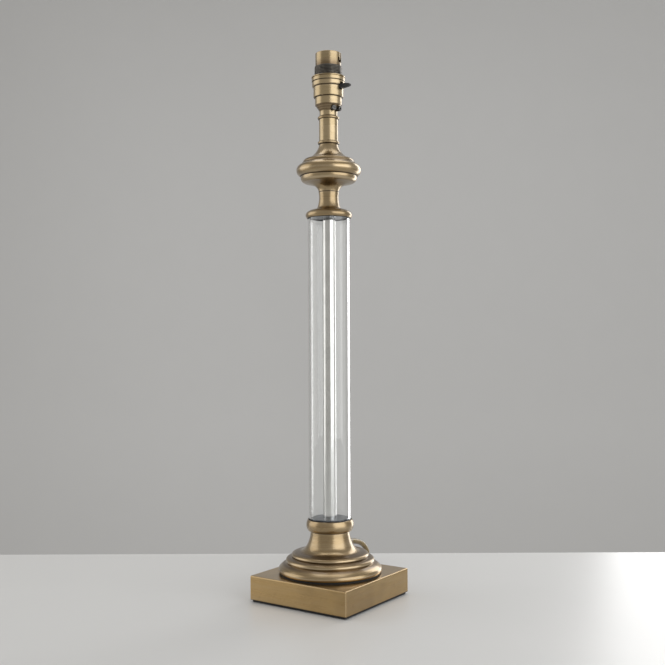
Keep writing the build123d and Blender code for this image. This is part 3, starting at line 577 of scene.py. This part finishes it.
black_plastic = moulding("black_moulding", (0.020, 0.020, 0.022), 0.34, 0.0006, 0.00003)
black_plastic.onto("holder_insert", "switch_lever")
plated.onto("lever_pivot_pin", "contact_spring_front", "contact_spring_back")
blackened = bright_metal("blackened_screw", (0.085, 0.082, 0.078), 0.18, turned_lines)
blackened.onto("earth_screw", "earth_terminal")
contact_brass = bright_metal("contact_brass", (0.62, 0.47, 0.22), 0.22, turned_lines)
contact_brass.onto("contact_front", "contact_back")
# Each spring gets a mesh of its own.
for side in ("front", "back"):
    spring = "contact_spring_" + side
    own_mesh(bpy.data.objects[spring])


# ---------------------------------------------------------------- flex and plug
# A gold-sheathed flex leaves the bell's back through a tapered bush, drops to the table, and its
# spare length is folded into a tied hank behind the lamp, with a black moulded plug on top.

MM = 0.001
CORD_RADIUS = 2.6
CORD_GAP = 0.45
CORD_PITCH = 2 * CORD_RADIUS + CORD_GAP
CORD_FACETS = 6
CORD_STEPS = 8
BUSH_MOUTH = Vector((0, 36.0, 49.4))
BUSH_TILT = radians(7.0)
BUSH_LEAD = 16.0
HANK_HALF_WIDTH = 34.0
HANK_NEAR = 110.0
HANK_FAR = 146.0
HANK_LEAD = 16.0
HANK_FOLDS = 6
FLOOR_GAP = 0.92
LOW_LAYER = CORD_RADIUS + FLOOR_GAP
HIGH_LAYER = LOW_LAYER + CORD_PITCH
CLIMB_LEAD = 9.0
TAIL_NEAR = 104.0
TAIL_BEND = 15.6
GRIP_GAP = 0.15
GRIP_RADIUS = 6.4
GRIP_Z = HIGH_LAYER + CORD_RADIUS + GRIP_GAP + GRIP_RADIUS
GRIP_NEAR = TAIL_NEAR + 2 * CORD_RADIUS
FOLD_CORNERS = 6
FOLD_STEP = radians(180 / FOLD_CORNERS)
CORD_DROP = ((0, 67.3, 37.6), (-6, 79, 23.5), (-16.5, 88, 11.5), (-27, 97, 5.4))


def hank_at(side, reach, z):
    """A point of the hank's own frame: side across it, reach along it away from the lamp."""
    return RIGHT * side + AWAY * reach + UP * z


def run_half_width(run):
    """How far to each side a turn of the hank reaches: each run lies inside the one before."""
    return HANK_HALF_WIDTH - run * CORD_PITCH / 2


def fold_points(start_side, end_side, reach, heading, z):
    """Corners of the polygon that a half-turn touches from outside."""
    radius = abs(end_side - start_side) / 2
    middle = (start_side + end_side) / 2
    turn = 1 if start_side > end_side else -1
    points = []
    for corner in range(FOLD_CORNERS):
        angle = FOLD_STEP * (corner + 0.5)
        out = radius / cos(FOLD_STEP / 2)
        points.append(hank_at(middle + turn * out * cos(angle), reach + heading * out * sin(angle), z))
    return points


def cord_route():
    """The flex from the bush to the plug: the free stretch, the hank's turns, and the tail."""
    points = [
        BUSH_MOUTH,
        BUSH_MOUTH + Vector((0, cos(BUSH_TILT), -sin(BUSH_TILT))) * BUSH_LEAD,
        *map(Vector, CORD_DROP),
        hank_at(HANK_HALF_WIDTH, HANK_NEAR + 2, LOW_LAYER),
        hank_at(HANK_HALF_WIDTH, HANK_FAR - HANK_LEAD, LOW_LAYER),
    ]
    order = [*range(HANK_FOLDS + 1), *range(HANK_FOLDS - 1, 0, -1)]
    side = 1
    layer = LOW_LAYER
    for number, (run, following) in enumerate(zip(order, order[1:])):
        start = side * run_half_width(run)
        if number == HANK_FOLDS:
            points.append(hank_at(start, HANK_NEAR + CLIMB_LEAD, LOW_LAYER))
            points.append(hank_at(start, HANK_FAR - CLIMB_LEAD, HIGH_LAYER))
            layer = HIGH_LAYER
        reach = HANK_FAR if side > 0 else HANK_NEAR
        points += fold_points(start, -side * run_half_width(following), reach, side, layer)
        side = -side
    left = -run_half_width(1)
    points.append(hank_at(left, HANK_FAR - 2 * CORD_RADIUS - CLIMB_LEAD, HIGH_LAYER))
    points.append(hank_at(left, TAIL_NEAR + CLIMB_LEAD, GRIP_Z))
    points += fold_points(left, left + 2 * TAIL_BEND, TAIL_NEAR, -1, GRIP_Z)
    points.append(hank_at(left + 2 * TAIL_BEND, GRIP_NEAR, GRIP_Z))
    return points


def make_cord():
    """The flex as one round curve along its route."""
    route = cord_route()
    data = bpy.data.curves.new("flex", "CURVE")
    data.dimensions = "3D"
    data.bevel_depth = CORD_RADIUS * MM
    data.bevel_resolution = CORD_FACETS
    data.resolution_u = CORD_STEPS
    data.use_fill_caps = True
    spline = data.splines.new("NURBS")
    spline.points.add(len(route) - 1)
    for spot, point in zip(spline.points, route):
        spot.co = (*(point * MM), 1.0)
    spline.order_u = 3
    spline.use_endpoint_u = True
    return show("flex", data)


def gold_sheath(name, base, deep):
    """A translucent gold sheath, darker where the cores show through it."""
    m = Finish(name, Transmission_Weight=0.12, IOR=1.45, Coat_Weight=0.30, Coat_Roughness=0.18)
    mottle = m.cloud(0.006, 3.0, 0.6)
    m.feed("Base Color", m.mix(mottle.rise(0.35, 0.75), base, deep))
    m.feed("Roughness", mottle * 0.12 + 0.30)
    m.bump(m.cloud(0.0015, 2.0), 0.00004)
    return m


flex = make_cord()
sheath = gold_sheath("gold_sheath", (0.235, 0.163, 0.045), (0.130, 0.088, 0.024))
sheath.onto("inner_flex")
flex.data.materials.append(sheath.material)
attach(flex, "lamp")
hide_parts("cord", "cord_hank", "cord_tail")
gold_sheath("bush_sheath", (0.21, 0.16, 0.085), (0.13, 0.10, 0.055)).onto("cord_bush", "plug_grip")
black_plastic.onto("cord_tie")
moulding("plug_moulding", (0.020, 0.020, 0.022), 0.24, 0.0005, 0.00002).onto("plug_cover", "plug_base")
contact_brass.onto("plug_pin_live", "plug_pin_neutral", "plug_pin_earth")
plated.onto("plug_screw")


# ---------------------------------------------------------------- studio
# A pale stone table runs back to just behind the lamp, with a plain grey wall well beyond it. A broad
# window light stands to the right, a weaker one to the left, one behind to the right, one overhead.

TABLE_EDGE = 0.199
TABLE_DROP = 0.0005
TABLE_CORNERS = ((-1.5, -1.5), (1.5, -1.5), (1.5, TABLE_EDGE), (-1.5, TABLE_EDGE))
WALL_AWAY = 1.80
LAMP_MIDDLE = 0.27
ROOM_SHADE = (0.47, 0.455, 0.430, 1)
SEEN_SHADE = (0.47, 0.47, 0.465, 1)
MOTTLE_SHADE = 0.97
WALL_CORNERS = ((-4.0, -0.9), (4.0, -0.9), (4.0, 3.2), (-4.0, 3.2))


def view_point(aside, away, height):
    """A point to the right of the lamp, behind it and above the floor, as the camera sees them."""
    return RIGHT * aside + AWAY * away + UP * height


def stage_sheet(name, corners, colour, rough):
    """A flat sheet of the studio, almost even in colour."""
    data = bpy.data.meshes.new(name)
    data.from_pydata([view_point(*corner) for corner in corners], [], [(0, 1, 2, 3)])
    m = Finish(name, Roughness=rough)
    mottle = m.cloud(0.09, 4.0, 0.6)
    m.feed("Base Color", m.mix(mottle, colour, tuple(MOTTLE_SHADE * part for part in colour)))
    data.materials.append(m.material)
    show(name, data)


def soft_light(name, angle, distance, height, width, tall, radiance, colour):
    """A rectangle of even light: angle is degrees to the right of the camera, as seen from the lamp."""
    place = view_point(distance * sin(radians(angle)), -distance * cos(radians(angle)), height)
    data = bpy.data.lights.new(name, "AREA")
    data.shape = "RECTANGLE"
    data.size = width
    data.size_y = tall
    data.energy = radiance * pi * width * tall
    data.color = colour
    facing = (UP * LAMP_MIDDLE - place).to_track_quat("-Z", "Y").to_matrix().to_4x4()
    light = show(name, data)
    light.matrix_world = Matrix.Translation(place) @ facing
    light.visible_camera = False


table = [(aside, away, -TABLE_DROP) for aside, away in TABLE_CORNERS]
wall = [(aside, WALL_AWAY, height) for aside, height in WALL_CORNERS]
stage_sheet("floor", table, (0.65, 0.652, 0.65), 0.35)
stage_sheet("backdrop", wall, (0.61, 0.615, 0.62), 0.9)
soft_light("window", 50, 1.5, 0.60, 1.8, 1.5, 1.85, (0.98, 0.99, 1.0))
soft_light("rear", 141, 1.3, 0.50, 0.55, 1.5, 2.9, (1.0, 1.0, 1.0))
soft_light("fill", -96, 1.3, 0.55, 1.20, 1.4, 1.05, (1.0, 0.99, 0.97))
soft_light("overhead", 170, 0.3, 1.6, 1.1, 1.0, 1.7, (1.0, 1.0, 1.0))

room = bpy.data.worlds.new("room")
room.use_nodes = True
shade = room.node_tree.nodes["Background"]
shade.inputs["Color"].default_value = ROOM_SHADE
paper = room.node_tree.nodes.new("ShaderNodeBackground")
paper.inputs["Color"].default_value = SEEN_SHADE
seen = room.node_tree.nodes.new("ShaderNodeLightPath")
either = room.node_tree.nodes.new("ShaderNodeMixShader")
output = room.node_tree.nodes["World Output"]
room.node_tree.links.new(seen.outputs["Is Camera Ray"], either.inputs["Fac"])
room.node_tree.links.new(shade.outputs[0], either.inputs[1])
room.node_tree.links.new(paper.outputs[0], either.inputs[2])
room.node_tree.links.new(either.outputs[0], output.inputs["Surface"])
bpy.context.scene.world = room
bpy.context.scene.view_settings.view_transform = "Standard"

bpy.context.view_layer.update()
